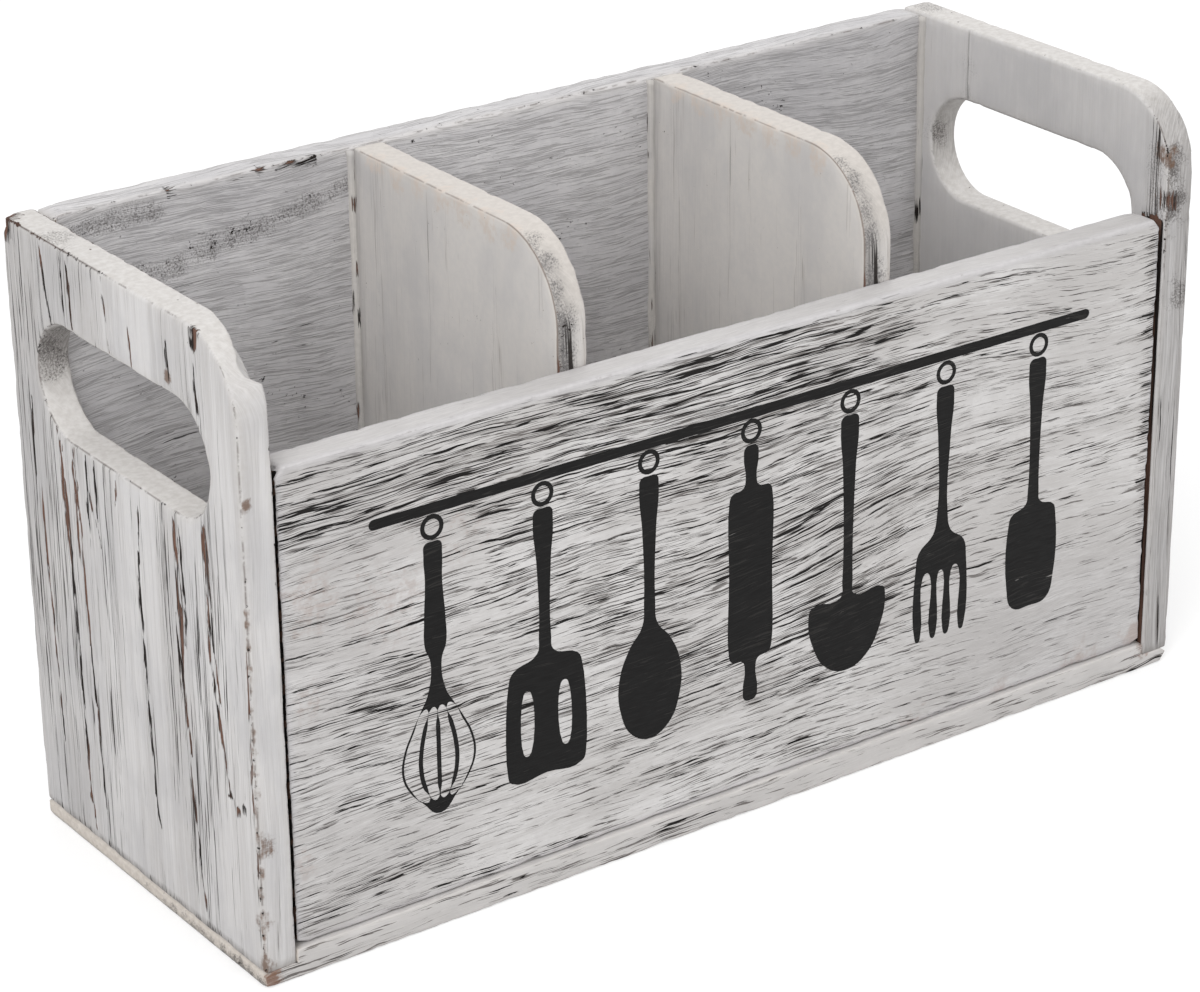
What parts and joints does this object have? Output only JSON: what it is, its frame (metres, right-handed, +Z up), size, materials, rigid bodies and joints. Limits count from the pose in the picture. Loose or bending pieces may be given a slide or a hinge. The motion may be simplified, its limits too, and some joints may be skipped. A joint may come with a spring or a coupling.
{
  "type": "utensil caddy",
  "caption": "Open countertop utensil caddy of whitewashed boards, with dividers making upright bays, a lower front panel and a hand slot in each side.",
  "frame": {"origin": "centre of the underside, on the surface the caddy stands on", "axes": "+X along the width, to the right as seen from the front; +Y along the depth, to the back; +Z up"},
  "size_m": [0.32, 0.12, 0.18],
  "materials": {
    "bottom_wood": "whitewashed, worn through to dark grain, cream at the cut ends",
    "side_wood": "whitewashed along an upright grain with long dark worn streaks",
    "front_wood": "whitewashed along a level grain with fine dark wavy lines and a black printed design",
    "back_wood": "thin grey-white wash over a level grain with small dark specks",
    "divider_wood": "smooth warm white paint with faint upright streaks",
    "filler": "cream painted filler, matt",
    "pin_steel": "plain wire, sunk and painted over"
  },
  "bodies": {
    "root": {"bottom_board": "bottom_wood", "left_side": "side_wood", "right_side": "side_wood", "front_panel": "front_wood", "back_panel": "back_wood", "left_divider": "divider_wood", "right_divider": "divider_wood", "left_bay_left_bead": "filler", "left_bay_right_bead": "filler", "middle_bay_left_bead": "filler", "middle_bay_right_bead": "filler", "right_bay_left_bead": "filler", "right_bay_right_bead": "filler", "left_side_front_pins": "pin_steel", "left_side_back_pins": "pin_steel", "right_side_front_pins": "pin_steel", "right_side_back_pins": "pin_steel", "bottom_left_side_pins": "pin_steel", "bottom_right_side_pins": "pin_steel", "bottom_front_pins": "pin_steel", "bottom_back_pins": "pin_steel", "left_divider_bottom_pins": "pin_steel", "left_divider_back_pins": "pin_steel", "right_divider_bottom_pins": "pin_steel", "right_divider_back_pins": "pin_steel"}
  },
  "joints": []
}
